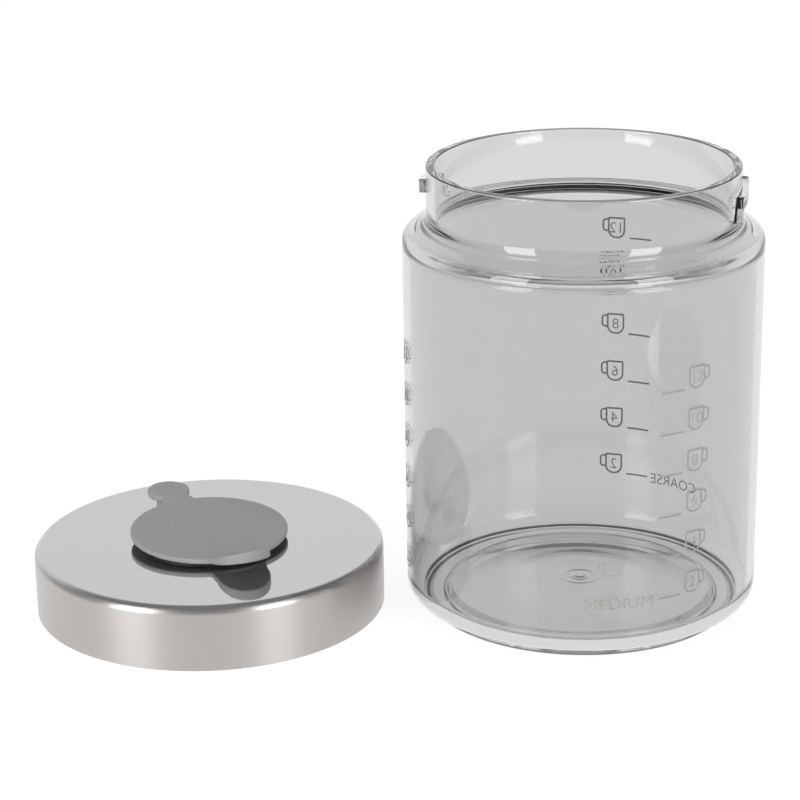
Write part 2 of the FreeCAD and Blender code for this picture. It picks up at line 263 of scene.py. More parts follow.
@dataclass(frozen=True)
class MouldedSilicone:
    """Silicone rubber from a spark-eroded mould: matt, with a soft sheen and a faint grain."""

    name: str = "silicone_moulded_grey"
    colour: str = "a4a4a6"
    roughness: float = 0.62

    def material(self) -> bpy.types.Material:
        """Return the matt silicone."""
        material, tree = empty_material(self.name)
        place = add_node(tree, "ShaderNodeTexCoord")
        grain = add_node(tree, "ShaderNodeTexNoise", {"Scale": 1 / (0.3 * MM), "Detail": 3.0}, {
            "Vector": place.outputs["Object"],
        })
        bump = add_node(tree, "ShaderNodeBump", {"Strength": 0.12, "Distance": 0.03 * MM}, {
            "Height": grain.outputs["Fac"],
        })
        cloud = add_node(tree, "ShaderNodeTexNoise", {"Scale": 1 / (9 * MM), "Detail": 2.0}, {
            "Vector": place.outputs["Object"],
        })
        rough = add_node(tree, "ShaderNodeMapRange", {
            "To Min": self.roughness - 0.04,
            "To Max": self.roughness + 0.04,
        }, {"Value": cloud.outputs["Fac"]})
        shader = add_node(tree, "ShaderNodeBsdfPrincipled", {
            "Base Color": linear(self.colour),
            "Sheen Weight": 0.08,
            "Sheen Roughness": 0.5,
            "IOR": 1.41,
        }, {"Roughness": rough.outputs[0], "Normal": bump.outputs["Normal"]})
        add_node(tree, "ShaderNodeOutputMaterial", links={"Surface": shader.outputs[0]})
        return material


@dataclass(frozen=True)
class MouldedPolypropylene:
    """Polypropylene, injection moulded in a fine-sanded tool: even charcoal with a low, broad shine."""

    name: str = "polypropylene_moulded_charcoal"
    colour: str = "47484a"
    roughness: float = 0.42

    def material(self) -> bpy.types.Material:
        """Return the moulded plastic with its sanded grain."""
        material, tree = empty_material(self.name)
        place = add_node(tree, "ShaderNodeTexCoord")
        grain = add_node(tree, "ShaderNodeTexNoise", {"Scale": 1 / (0.2 * MM), "Detail": 4.0}, {
            "Vector": place.outputs["Object"],
        })
        bump = add_node(tree, "ShaderNodeBump", {"Strength": 0.2, "Distance": 0.02 * MM}, {
            "Height": grain.outputs["Fac"],
        })
        shader = add_node(tree, "ShaderNodeBsdfPrincipled", {
            "Base Color": linear(self.colour),
            "Roughness": self.roughness,
            "IOR": 1.49,
        }, {"Normal": bump.outputs["Normal"]})
        add_node(tree, "ShaderNodeOutputMaterial", links={"Surface": shader.outputs[0]})
        return material


# Outlines and meshes


def rounded(corners: Sequence[Corner], closed: bool = True, step_deg: float = 6.0) -> list[Point]:
    """Trace an outline whose corners are rounded by arcs.

    Args:
        corners: (a, b, radius) of each corner, in order.
        closed: Whether the last corner leads back to the first.
        step_deg: Largest turn between two points of an arc.

    Returns:
        The points of the outline, arcs included.
    """
    points: list[Point] = []
    count = len(corners)
    for index, (a, b, radius) in enumerate(corners):
        at_end = not closed and index in (0, count - 1)
        if radius == 0 or at_end:
            points.append((a, b))
            continue
        corner = Vector((a, b))
        before = (Vector(corners[index - 1][:2]) - corner).normalized()
        after = (Vector(corners[(index + 1) % count][:2]) - corner).normalized()
        half = before.angle(after) / 2
        centre = corner + (before + after).normalized() * (radius / math.sin(half))
        start = corner + before * (radius / math.tan(half)) - centre
        turn = math.pi - 2 * half
        if before.x * after.y - before.y * after.x > 0:
            turn = -turn
        steps = max(2, math.ceil(abs(math.degrees(turn)) / step_deg))
        for step in range(steps + 1):
            angle = turn * step / steps
            cos_a, sin_a = math.cos(angle), math.sin(angle)
            points.append((centre.x + start.x * cos_a - start.y * sin_a,
                           centre.y + start.x * sin_a + start.y * cos_a))
    return points


def spaced(points: Sequence[Point], longest: float, closed: bool = True) -> list[Point]:
    """Divide the long straight stretches of an outline.

    Args:
        points: The outline.
        longest: Longest stretch that is left whole.
        closed: Whether the last point leads back to the first.

    Returns:
        The outline with more points on its straight stretches.
    """
    result: list[Point] = []
    for index, start in enumerate(points):
        result.append(start)
        if index == len(points) - 1 and not closed:
            break
        end = points[(index + 1) % len(points)]
        parts = math.ceil(math.dist(start, end) / longest)
        for part in range(1, parts):
            share = part / parts
            result.append((start[0] + (end[0] - start[0]) * share, start[1] + (end[1] - start[1]) * share))
    return result


def revolve(mesh: bmesh.types.BMesh, profile: Sequence[Point], segments: int) -> None:
    """Turn a profile round Z into closed faces.

    Args:
        mesh: The mesh that takes the faces.
        profile: (r, z) points in millimetres, in order; it is closed unless it starts and ends on the axis.
        segments: Number of steps round the axis.
    """
    on_axis = profile[0][0] == 0 and profile[-1][0] == 0
    rings: list[list[bmesh.types.BMVert]] = []
    for r, z in profile:
        turns = 1 if r == 0 else segments
        rings.append([
            mesh.verts.new((r * MM * math.cos(math.tau * k / segments),
                            r * MM * math.sin(math.tau * k / segments), z * MM))
            for k in range(turns)
        ])
    pairs = list(zip(rings, rings[1:]))
    if not on_axis:
        pairs.append((rings[-1], rings[0]))
    for low, high in pairs:
        for k in range(segments):
            nxt = (k + 1) % segments
            corners = [low[k % len(low)], low[nxt % len(low)], high[nxt % len(high)], high[k % len(high)]]
            face = list(dict.fromkeys(corners))
            if len(face) > 2:
                mesh.faces.new(face)


def slab(
    mesh: bmesh.types.BMesh,
    outline: Sequence[Point],
    low: Callable[[float, float], Vector],
    high: Callable[[float, float], Vector],
    cuts: Sequence[float] = (),
    bevel: float = 0.0,
) -> None:
    """Make a closed plate from a flat outline and two surfaces that its faces are laid on.

    Args:
        mesh: The mesh that takes the plate.
        outline: (a, b) points of the outline in millimetres.
        low: Place of a point of the lower face, in metres.
        high: Place of a point of the upper face, in metres.
        cuts: Values of a at which the faces are divided, so that they can bend.
        bevel: Width of the round along the upper edge, in millimetres.
    """
    plate = bmesh.new()
    plate.faces.new([plate.verts.new((a, b, 0)) for a, b in outline])
    for cut in cuts:
        bmesh.ops.bisect_plane(plate, geom=plate.verts[:] + plate.edges[:] + plate.faces[:],
                               plane_co=(cut, 0, 0), plane_no=(1, 0, 0))
    lifted = bmesh.ops.extrude_face_region(plate, geom=plate.faces[:])["geom"]
    top = [item for item in lifted if isinstance(item, bmesh.types.BMVert)]
    for vert in top:
        vert.co.z = 1.0
    if bevel:
        rim = [edge for edge in plate.edges
               if all(vert.co.z > 0.5 for vert in edge.verts)
               and any(face.normal.z < 0.5 and min(v.co.z for v in face.verts) < 0.5
                       for face in edge.link_faces)]
        bmesh.ops.bevel(plate, geom=rim, offset=bevel, segments=3, profile=0.5, affect="EDGES")
    bmesh.ops.recalc_face_normals(plate, faces=plate.faces[:])
    copies = {}
    for vert in plate.verts:
        a, b, share = vert.co
        copies[vert] = mesh.verts.new(low(a, b).lerp(high(a, b), share))
    for face in plate.faces:
        mesh.faces.new([copies[vert] for vert in face.verts])
    plate.free()


def new_object(name: str, mesh: bmesh.types.BMesh) -> bpy.types.Object:
    """Turn a bmesh into a smooth object in the scene and free it.

    Args:
        name: Name of the object and its mesh.
        mesh: The bmesh, in metres.

    Returns:
        The new object.
    """
    bmesh.ops.recalc_face_normals(mesh, faces=mesh.faces[:])
    data = bpy.data.meshes.new(name)
    mesh.to_mesh(data)
    mesh.free()
    data.shade_smooth()
    piece = bpy.data.objects.new(name, data)
    bpy.context.scene.collection.objects.link(piece)
    return piece


def apply_modifiers(piece: bpy.types.Object) -> None:
    """Replace an object's mesh by what its modifiers make of it, and drop them.

    Args:
        piece: The object with the modifiers.
    """
    bpy.context.view_layer.update()
    evaluated = piece.evaluated_get(bpy.context.evaluated_depsgraph_get())
    data = bpy.data.meshes.new_from_object(evaluated)
    piece.modifiers.clear()
    piece.data = data


def combine(piece: bpy.types.Object, other: bpy.types.Object, operation: str) -> None:
    """Join or cut a mesh exactly with another, which is then deleted.

    Args:
        piece: The object that is changed.
        other: The object that is joined to it or cut from it.
        operation: "UNION" or "DIFFERENCE".
    """
    modifier = piece.modifiers.new("combine", "BOOLEAN")
    modifier.operation = operation
    modifier.solver = "EXACT"
    modifier.object = other
    apply_modifiers(piece)
    bpy.data.objects.remove(other)


def smooth_by_angle(piece: bpy.types.Object, degrees: float) -> None:
    """Shade smooth, keep sharp edges, and weight normals by the larger faces.

    Args:
        piece: The object that is shaded.
        degrees: Edges that turn more than this stay sharp.
    """
    piece.data.shade_smooth()
    piece.data.set_sharp_from_angle(angle=math.radians(degrees))
    weighted = piece.modifiers.new("weighted", "WEIGHTED_NORMAL")
    weighted.keep_sharp = True
    weighted.weight = 100
    apply_modifiers(piece)


def dress(piece: bpy.types.Object, material: bpy.types.Material) -> None:
    """Give an object one material in place of what it has."""
    piece.data.materials.clear()
    piece.data.materials.append(material)


# The jar and its print


@dataclass
class Jar:
    """The clear moulded jar: body, shoulder, neck, foot and bayonet lugs."""

    height: float = 127.5
    body_r: float = 50.0
    body_foot_r: float = 49.75
    body_wall: float = 2.0
    body_corner_r: float = 3.6
    base_corner_r: float = 4.6
    floor_corner_r: float = 6.0
    floor_corner_z: float = 3.6
    channel_r: float = 43.5
    channel_z: float = 3.2
    step_r: float = 38.6
    step_run: float = 1.8
    step_rise: float = 1.2
    step_round_r: float = 1.2
    floor_top_z: float = 5.4
    gate_r: float = 1.2
    gate_run: float = 0.6
    gate_height: float = 0.4
    gate_edge_r: float = 0.2
    ripple_r: float = 5.0
    ripple_run: float = 1.0
    ripple_height: float = 0.15
    ripple_round_r: float = 1.5
    foot_r: float = 43.8
    foot_flare: float = 0.8
    foot_height: float = 2.5
    foot_width: float = 4.4
    foot_edge_r: float = 0.6
    hollow_step: float = 1.2
    hollow_step_run: float = 0.8
    dome_top_z: float = 3.6
    dome_corner_r: float = 18.0
    dome_round_r: float = 150.0
    neck_r: float = 43.25
    neck_wall: float = 2.4
    neck_root_z: float = 111.5
    neck_root_fillet: float = 4.5
    shoulder_slope_deg: float = 21.0
    shoulder_wall: float = 2.6
    shoulder_corner_drop: float = 1.2
    shoulder_inner_r: float = 3.0
    neck_inner_fillet: float = 3.0
    rim_round_r: float = 0.5
    lug_count: int = 2
    lug_stand_out: float = 1.8
    lug_free_end_y: float = 3.1
    lug_length: float = 17.1
    lug_drop: float = 4.1
    lug_height: float = 3.8
    lug_top_fall: float = 2.2
    lug_bottom_fall: float = 1.8
    lug_stop_width: float = 2.4
    lug_stop_height: float = 6.8
    lug_stop_lean: float = 2.0
    lug_corner_r: float = 0.7
    lug_edge_r: float = 0.35
    lug_steps: int = 20
    segments: int = 256
    finish: ClearCopolyester = field(default_factory=ClearCopolyester)

    def shoulder_z(self, radius: float) -> float:
        """Return the height of the shoulder's cone at a radius."""
        return self.neck_root_z - (radius - self.neck_r) * math.tan(math.radians(self.shoulder_slope_deg))

    def outer_r(self, z: float) -> float:
        """Return the outer radius of the body's slight taper at a height."""
        share = (z - self.foot_height) / (self.shoulder_z(self.body_r) - self.foot_height)
        return self.body_foot_r + (self.body_r - self.body_foot_r) * share

    def profile(self) -> list[Point]:
        """Return the (r, z) outline of the wall, from the axis under the base round to the floor."""
        bore_r = self.neck_r - self.neck_wall
        body_bore_r = self.body_r - self.body_wall
        drop = self.shoulder_wall / math.cos(math.radians(self.shoulder_slope_deg))
        inner_root_z = self.shoulder_z(bore_r) - drop
        inner_corner_z = self.shoulder_z(body_bore_r) - drop - self.shoulder_corner_drop
        foot_bore_r = self.foot_r - self.foot_width
        corners = [
            (0, self.dome_top_z, 0),
            (self.dome_corner_r, self.dome_top_z, self.dome_round_r),
            (foot_bore_r - self.hollow_step_run, self.hollow_step, self.foot_edge_r),
            (foot_bore_r, 0, self.foot_edge_r / 2),
            (self.foot_r, 0, self.foot_edge_r),
            (self.foot_r + self.foot_flare, self.foot_height, self.foot_edge_r),
            (self.body_foot_r, self.foot_height, self.base_corner_r),
            (self.body_r, self.shoulder_z(self.body_r), self.body_corner_r),
            (self.neck_r, self.neck_root_z, self.neck_root_fillet),
            (self.neck_r, self.height, self.rim_round_r),
            (bore_r, self.height, self.rim_round_r),
            (bore_r, inner_root_z, self.neck_inner_fillet),
            (body_bore_r, inner_corner_z, self.shoulder_inner_r),
            (self.body_foot_r - self.body_wall, self.floor_corner_z, self.floor_corner_r),
            (self.channel_r, self.channel_z, self.step_round_r),
            (self.step_r, self.channel_z, self.step_round_r),
            (self.step_r - self.step_run, self.channel_z + self.step_rise, self.step_round_r),
            (self.dome_corner_r, self.floor_top_z, self.dome_round_r),
            (self.ripple_r + self.ripple_run, self.floor_top_z, 0),
            (self.ripple_r, self.floor_top_z + self.ripple_height, self.ripple_round_r),
            (self.ripple_r - self.ripple_run, self.floor_top_z, 0),
            (self.gate_r + self.gate_run, self.floor_top_z, 0),
            (self.gate_r, self.floor_top_z + self.gate_height, self.gate_edge_r),
            (0, self.floor_top_z + self.gate_height, 0),
        ]
        return spaced(rounded(corners, step_deg=4.0), 4.0, closed=False)

    def lug(self, turn: float) -> bpy.types.Object:
        """Return one lug as a closed mesh that reaches into the neck's wall.

        Args:
            turn: Angle of the lug round the axis, in radians.

        Returns:
            The lug, in its place on the jar.
        """
        stop_y = self.lug_free_end_y - self.lug_length
        top_z = self.height - self.lug_drop
        bottom_z = top_z - self.lug_height
        stop_z = top_z - self.lug_top_fall
        foot_y, foot_z = stop_y - self.lug_stop_lean, stop_z - self.lug_stop_height
        root_z = bottom_z - self.lug_bottom_fall
        lean = self.lug_stop_lean * (root_z - foot_z) / self.lug_stop_height
        root_y = foot_y + self.lug_stop_width + lean
        outline = rounded([
            (self.lug_free_end_y, bottom_z, self.lug_corner_r),
            (self.lug_free_end_y, top_z, self.lug_corner_r),
            (stop_y, stop_z, self.lug_corner_r),
            (foot_y, foot_z, self.lug_corner_r),
            (foot_y + self.lug_stop_width, foot_z, self.lug_corner_r),
            (root_y, root_z, self.lug_corner_r),
        ], step_deg=15.0)

        def on_cylinder(radius: float) -> Callable[[float, float], Vector]:
            """Return what lays a point of the outline on a cylinder round the jar's axis."""
            def place(y: float, z: float) -> Vector:
                """Return the place of one point, in metres."""
                at = Vector((math.sqrt(radius ** 2 - y ** 2), y, z)) * MM
                return Matrix.Rotation(turn, 3, "Z") @ at
            return place

        run = self.lug_free_end_y - foot_y
        cuts = [foot_y + run * step / self.lug_steps for step in range(1, self.lug_steps)]
        mesh = bmesh.new()
        slab(mesh, outline, on_cylinder(self.neck_r - self.neck_wall / 2),
             on_cylinder(self.neck_r + self.lug_stand_out), cuts, bevel=self.lug_edge_r)
        return new_object("lug", mesh)

    def build(self) -> bpy.types.Object:
        """Build the jar as one closed mesh in place of its CAD node and return it."""
        mesh = bmesh.new()
        revolve(mesh, self.profile(), self.segments)
        piece = new_object("clear_jar", mesh)
        for index in range(self.lug_count):
            combine(piece, self.lug(math.tau * index / self.lug_count), "UNION")
        smooth_by_angle(piece, 35)
        dress(piece, self.finish.material())
        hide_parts("jar")
        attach(piece, Body.CONTAINER.value)
        return piece


@dataclass
class CupScale:
    """One printed scale: a word at its foot, and a tick and a numbered cup for every second cup.

    Angles are from the front (-Y) towards +X, and the print reads from outside the jar.
    """

    word: str
    word_width: float
    cup_deg: float
    first_tick_z: float
    tick_step: float
    jar: Jar
    finish: PadPrintInk
    cups: Sequence[int] = (2, 4, 6, 8, 10, 12)
    cup_width: float = 4.9
    cup_height: float = 5.9
    cup_foot_r: float = 2.2
    cup_rim_r: float = 0.25
    handle_reach: float = 1.7
    handle_height: float = 3.4
    handle_drop: float = 0.45
    handle_r: float = 0.9
    number_height: float = 3.4
    number_lift: float = 0.15
    tick_length: float = 7.0
    tick_before_cup_deg: float = 8.8
    word_height: float = 3.3
    word_gap: float = 0.9
    thinning: float = 0.012
    stroke: float = 0.54
    film: float = 0.04
    lift: float = 0.01

    def wrap(self, s: float, z: float, depth: float) -> Vector:
        """Return the place on the jar of a point of the flat print.

        Args:
            s: Millimetres to the right of the cups' middle line, seen from outside.
            z: Height in millimetres.
            depth: 0 on the jar's face, 1 on top of the ink.
        """
        angle = math.radians(self.cup_deg) + s / self.jar.body_r
        radius = self.jar.outer_r(z) + self.lift + depth * self.film
        return Vector((radius * math.sin(angle), -radius * math.cos(angle), z)) * MM

    def take(self, mesh: bmesh.types.BMesh, curve: bpy.types.Curve, s: float, z: float,
             width: float | None = None) -> None:
        """Lay a flat curve or text on the jar as a thin closed film, and delete the curve.

        Args:
            mesh: The mesh that takes the film.
            curve: Curve data with a thickness of its own.
            s: Where the curve's own origin goes, to the right of the cups' middle line.
            z: Height of the curve's own origin.
            width: Width that the curve is stretched to, if any.
        """
        carrier = bpy.data.objects.new("carrier", curve)
        bpy.context.scene.collection.objects.link(carrier)
        bpy.context.view_layer.update()
        flat = bpy.data.meshes.new_from_object(carrier.evaluated_get(bpy.context.evaluated_depsgraph_get()))
        xs = [vert.co.x for vert in flat.vertices]
        zs = [vert.co.z for vert in flat.vertices]
        stretch = width / (max(xs) - min(xs)) if width else 1.0
        for vert in flat.vertices:
            depth = (vert.co.z - min(zs)) / (max(zs) - min(zs))
            vert.co = self.wrap(s + vert.co.x * stretch, z + vert.co.y, depth)
        mesh.from_mesh(flat)
        bpy.data.objects.remove(carrier)
        bpy.data.meshes.remove(flat)

    def line(self, mesh: bmesh.types.BMesh, points: Sequence[Point], s: float, z: float,
             closed: bool = False) -> None:
        """Print a stroke of even width.

        Args:
            mesh: The mesh that takes the film.
            points: Points of the stroke's middle line.
            s: Where the stroke's own origin goes along the jar.
            z: Height of the stroke's own origin.
            closed: Whether the stroke leads back to its start.
        """
        curve = bpy.data.curves.new("stroke", "CURVE")
        curve.dimensions = "3D"
        curve.bevel_depth = self.stroke / 2
        curve.bevel_resolution = 1
        curve.use_fill_caps = True
        spline = curve.splines.new("POLY")
        spline.points.add(len(points) - 1)
        for point, (a, b) in zip(spline.points, points):
            point.co = (a, b, 0, 1)
        spline.use_cyclic_u = closed
        self.take(mesh, curve, s, z)

    def text(self, mesh: bmesh.types.BMesh, words: str, height: float, s: float, z: float,
             align: str, width: float | None = None) -> None:
        """Print a number or a plain word in the built-in font.

        Args:
            mesh: The mesh that takes the film.
            words: What is printed.
            height: Height of a capital.
            s: Place along the jar that the words are aligned to.
            z: Height of the words' foot.
            align: "CENTER" or "RIGHT".
            width: Width that the words are stretched to, if any.
        """
        capital_share = 0.73
        curve = bpy.data.curves.new("words", "FONT")
        curve.body = words
        curve.size = height / capital_share
        curve.align_x = align
        curve.extrude = self.film
        curve.offset = -self.thinning * height
        self.take(mesh, curve, s, z, width)

    def cup(self, mesh: bmesh.types.BMesh, count: int, z: float) -> None:
        """Print a cup outline with its handle and number.

        Args:
            mesh: The mesh that takes the film.
            count: The number in the cup.
            z: Height of the cup's foot.
        """
        half = self.cup_width / 2
        bowl = rounded([
            (-half, self.cup_height, self.cup_rim_r), (-half, 0, self.cup_foot_r),
            (half, 0, self.cup_foot_r), (half, self.cup_height, self.cup_rim_r),
        ], step_deg=15)
        self.line(mesh, bowl, 0, z, closed=True)
        top = self.cup_height - self.handle_drop
        foot = top - self.handle_height
        reach = half + self.handle_reach
        handle = rounded([
            (half, top, 0), (reach, top, self.handle_r), (reach, foot, self.handle_r), (half, foot, 0),
        ], closed=False, step_deg=15)
        self.line(mesh, handle, 0, z)
        number_z = z + (self.cup_height - self.number_height) / 2 + self.number_lift
        self.text(mesh, str(count), self.number_height, 0, number_z, "CENTER")

    def build(self) -> bpy.types.Object:
        """Build the whole scale as one piece on the jar and return it."""
        mesh = bmesh.new()
        tick_s = -math.radians(self.tick_before_cup_deg) * self.jar.body_r
        half_tick = self.tick_length / 2
        for index, count in enumerate(self.cups):
            z = self.first_tick_z + index * self.tick_step
            self.cup(mesh, count, z)
            steps = [(-half_tick + self.tick_length * step / 6, 0.0) for step in range(7)]
            self.line(mesh, steps, tick_s, z)
        word_s = tick_s - half_tick - self.word_gap
        self.text(mesh, self.word, self.word_height, word_s, self.first_tick_z - self.word_height / 2,
                  "RIGHT", self.word_width)
        piece = new_object(f"print_{self.word.lower()}", mesh)
        dress(piece, self.finish.material())
        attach(piece, Body.CONTAINER.value)
        return piece


# The lid


@dataclass
class LidShell:
    """The drawn steel cup of the lid, polished on top and brushed round its side."""

    centre: Point = (-106.2, -8.23)
    outer_r: float = 49.95
    height: float = 18.6
    edge_r: float = 2.4
    brushed_share: float = 0.3
    sheet: float = 0.5
    outlet_hole_r: float = 19.5
    stem_hole_r: float = 2.6
    stem_offset: float = 30.9
    tether_deg: float = 121.0
    segments: int = 256
    top_finish: PolishedSteel = field(default_factory=PolishedSteel)
    side_finish: BrushedSteel = field(default_factory=BrushedSteel)

    def place(self) -> Vector:
        """Return the lid's own origin in the frame, in metres."""
        return Vector((*self.centre, 0)) * MM

    def build(self) -> bpy.types.Object:
        """Build the shell in place of its CAD node and return it."""
        bore_r = self.outer_r - self.sheet
        under = self.height - self.sheet
        hem = self.sheet * 0.4
        profile = spaced(rounded([
            (self.outlet_hole_r, self.height, 0.1),
            (self.outer_r, self.height, self.edge_r),
            (self.outer_r, 0, hem),
            (bore_r, 0, hem),
            (bore_r, under, self.edge_r - self.sheet),
            (self.outlet_hole_r, under, 0.1),
        ], step_deg=5.0), 2.5)
        mesh = bmesh.new()
        revolve(mesh, profile, self.segments)
        piece = new_object("steel_shell", mesh)
        angle = math.radians(self.tether_deg)
        hole = bmesh.new()
        revolve(hole, [(0, under - 1), (self.stem_hole_r, under - 1),
                       (self.stem_hole_r, self.height + 1), (0, self.height + 1)], 48)
        bmesh.ops.translate(hole, verts=hole.verts[:], vec=Vector((math.cos(angle), math.sin(angle), 0))
                            * self.stem_offset * MM)
        combine(piece, new_object("stem_hole", hole), "DIFFERENCE")
        smooth_by_angle(piece, 40)
        piece.location = self.place()
        self.finish(piece)
        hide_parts("lid_shell")
        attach(piece, Body.CONTAINER.value)
        return piece

    def finish(self, piece: bpy.types.Object) -> None:
        """Polish the top and most of its rolled edge, and brush the upright side.

        Args:
            piece: The shell, in its own axes.
        """
        dress(piece, self.top_finish.material())
        piece.data.materials.append(self.side_finish.material())
        polished_r = (self.outer_r - self.edge_r * self.brushed_share) * MM
        for face in piece.data.polygons:
            face.material_index = 1 if face.center.xy.length > polished_r else 0


@dataclass
class OutletCap:
    """The silicone cap, its strap and its anchor button, which are one moulding with a fold line."""

    lid: LidShell
    outlet_r: float = 18.0
    lip_height: float = 1.1
    lip_play: float = 0.15
    cap_r: float = 22.5
    thickness: float = 1.5
    edge_r: float = 0.3
    plug_top_play: float = 0.3
    plug_taper: float = 0.65
    plug_depth: float = 6.5
    plug_wall: float = 1.8
    tab_width: float = 15.6
    tab_reach: float = 31.5
    tab_rise_deg: float = 18.0
    tab_tip_r: float = 7.7
    tab_flare: float = 0.6
    tab_flare_in: float = 2.0
    tab_flare_out: float = 1.0
    tab_flare_r: float = 2.0
    tab_bend: float = 4.0
    tab_overlap: float = 5.0
    tab_steps: int = 24
    tab_tip_thickness: float = 3.4
    strap_width: float = 9.3
    strap_waist: float = 0.6
    strap_waist_half: float = 1.4
    strap_overlap: float = 3.0
    strap_root_flare: float = 1.0
    hinge_offset: float = 23.3
    fold_half: float = 1.4
    tilt_deg: float = 2.2
    tilt_at_r: float = 19.4
    button_r: float = 6.2
    button_step: float = 0.3
    stem_r: float = 2.5
    stem_shoulder_r: float = 3.6
    stem_head_r: float = 3.8
    stem_head_height: float = 2.6
    stem_tip_r: float = 2.0
    plate_thickness: float = 2.0
    voxel: float = 0.27
    finish: MouldedSilicone = field(default_factory=MouldedSilicone)

    def under_z(self) -> float:
        """Return the height of the disc's underside."""
        return self.lid.height + self.lip_height + self.lip_play

    def disc(self, mesh: bmesh.types.BMesh) -> None:
        """Add the disc with its hollow tapered plug.

        Args:
            mesh: The mesh that takes the disc.
        """
        under, top = self.under_z(), self.under_z() + self.thickness
        plug_r = self.outlet_r - self.plug_top_play
        tip_r, tip_z = plug_r - self.plug_taper, under - self.plug_depth
        revolve(mesh, rounded([
            (0, top, 0), (self.cap_r, top, self.edge_r), (self.cap_r, under, self.edge_r),
            (plug_r, under, 0.3), (tip_r, tip_z, 0.6), (tip_r - self.plug_wall, tip_z, 0.6),
            (plug_r - self.plug_wall, under, 0.6), (0, under, 0),
        ], step_deg=10), 160)

    def tab(self, mesh: bmesh.types.BMesh) -> None:
        """Add the pull tab, which curls up away from the strap.

        Args:
            mesh: The mesh that takes the tab.
        """
        under = self.under_z()
        root = self.cap_r - self.thickness
        rise = math.tan(math.radians(self.tab_rise_deg))
        bend = self.tab_bend

        def lift(x: float) -> float:
            """Return how far the tab has risen at a distance from the cap's axis."""
            run = max(0.0, x - root + bend / 2)
            return rise * (run ** 2 / (2 * bend) if run < bend else run - bend / 2)

        def low(x: float, y: float) -> Vector:
            """Return a point of the lower face, in metres."""
            return Vector((x, y, under + lift(x))) * MM

        def high(x: float, y: float) -> Vector:
            """Return a point of the upper face, which dips into the disc before the root."""
            share = (x - root) / (self.tab_reach - root)
            thick = self.thickness + (self.tab_tip_thickness - self.thickness) * max(0.0, share)
            return Vector((x, y, under + lift(x) + thick + min(0.0, share))) * MM

        half = self.tab_width / 2
        wide = half + self.tab_flare
        start = self.cap_r - self.tab_overlap
        inner = self.cap_r - self.tab_flare_in
        outer = self.cap_r + self.tab_flare_out
        outline = rounded([
            (start, -wide, 0), (inner, -wide, 0), (outer, -half, self.tab_flare_r),
            (self.tab_reach, -half, self.tab_tip_r), (self.tab_reach, half, self.tab_tip_r),
            (outer, half, self.tab_flare_r), (inner, wide, 0), (start, wide, 0),
        ], step_deg=8)
        length = self.tab_reach - start
        cuts = [start + length * step / self.tab_steps for step in range(1, self.tab_steps)]
        slab(mesh, outline, low, high, cuts, bevel=self.edge_r)

    def strap(self, mesh: bmesh.types.BMesh) -> None:
        """Add the waisted strap between the disc and the button.

        Args:
            mesh: The mesh that takes the strap.
        """
        under, top = self.under_z(), self.under_z() + self.thickness
        half, waist = self.strap_width / 2, self.strap_width / 2 - self.strap_waist
        wide = half + self.strap_root_flare
        near, far = self.cap_r - self.strap_overlap, self.lid.stem_offset
        waist_in = self.strap_waist_half - (near + far) / 2
        waist_out = -self.strap_waist_half - (near + far) / 2
        outline = [(-near, -wide), (-near, wide), (waist_in, waist), (waist_out, waist),
                   (-far, half), (-far, -half), (waist_out, -waist), (waist_in, -waist)]
        slab(mesh, outline, lambda x, y: Vector((x, y, under)) * MM, lambda x, y: Vector((x, y, top)) * MM)

    def add_turned(self, mesh: bmesh.types.BMesh, corners: Sequence[Corner]) -> None:
        """Add a piece turned round the middle line of the anchor.

        Args:
            mesh: The mesh that takes the piece.
            corners: (r, z, radius) corners of its outline.
        """
        known = set(mesh.verts)
        revolve(mesh, rounded(corners, step_deg=10), 72)
        added = [vert for vert in mesh.verts if vert not in known]
        bmesh.ops.translate(mesh, verts=added, vec=(-self.lid.stem_offset * MM, 0, 0))

    def button(self, mesh: bmesh.types.BMesh) -> None:
        """Add the anchor button, which stands a step above the strap.

        Args:
            mesh: The mesh that takes the button.
        """
        under = self.under_z()
        top = under + self.thickness + self.button_step
        self.add_turned(mesh, [
            (0, top, 0), (self.button_r, top, self.edge_r),
            (self.button_r, under, self.edge_r), (0, under, 0),
        ])

    def stem(self, mesh: bmesh.types.BMesh) -> None:
        """Add the stem under the button and the head that snaps under the liner.

        Args:
            mesh: The mesh that takes the stem.
        """
        raised = (self.tilt_at_r + self.lid.stem_offset) * math.sin(math.radians(self.tilt_deg))
        top = self.under_z() + raised + self.thickness / 2
        plate = self.lid.height - self.lid.sheet - self.plate_thickness
        self.add_turned(mesh, [
            (0, top, 0), (self.stem_shoulder_r, top, 0), (self.stem_shoulder_r, self.lid.height, 0),
            (self.stem_r, self.lid.height, 0), (self.stem_r, plate, 0), (self.stem_head_r, plate, 0.3),
            (self.stem_tip_r, plate - self.stem_head_height, 0.5), (0, plate - self.stem_head_height, 0),
        ])

    def tilt(self, mesh: bmesh.types.BMesh) -> None:
        """Raise the tether's side of the flat parts, which rest on the far side of the outlet's lip.

        Args:
            mesh: The mesh with the flat parts.
        """
        at = Vector((self.tilt_at_r, 0, self.under_z())) * MM
        bmesh.ops.rotate(mesh, verts=mesh.verts[:], cent=at,
                         matrix=Matrix.Rotation(math.radians(self.tilt_deg), 3, "Y"))

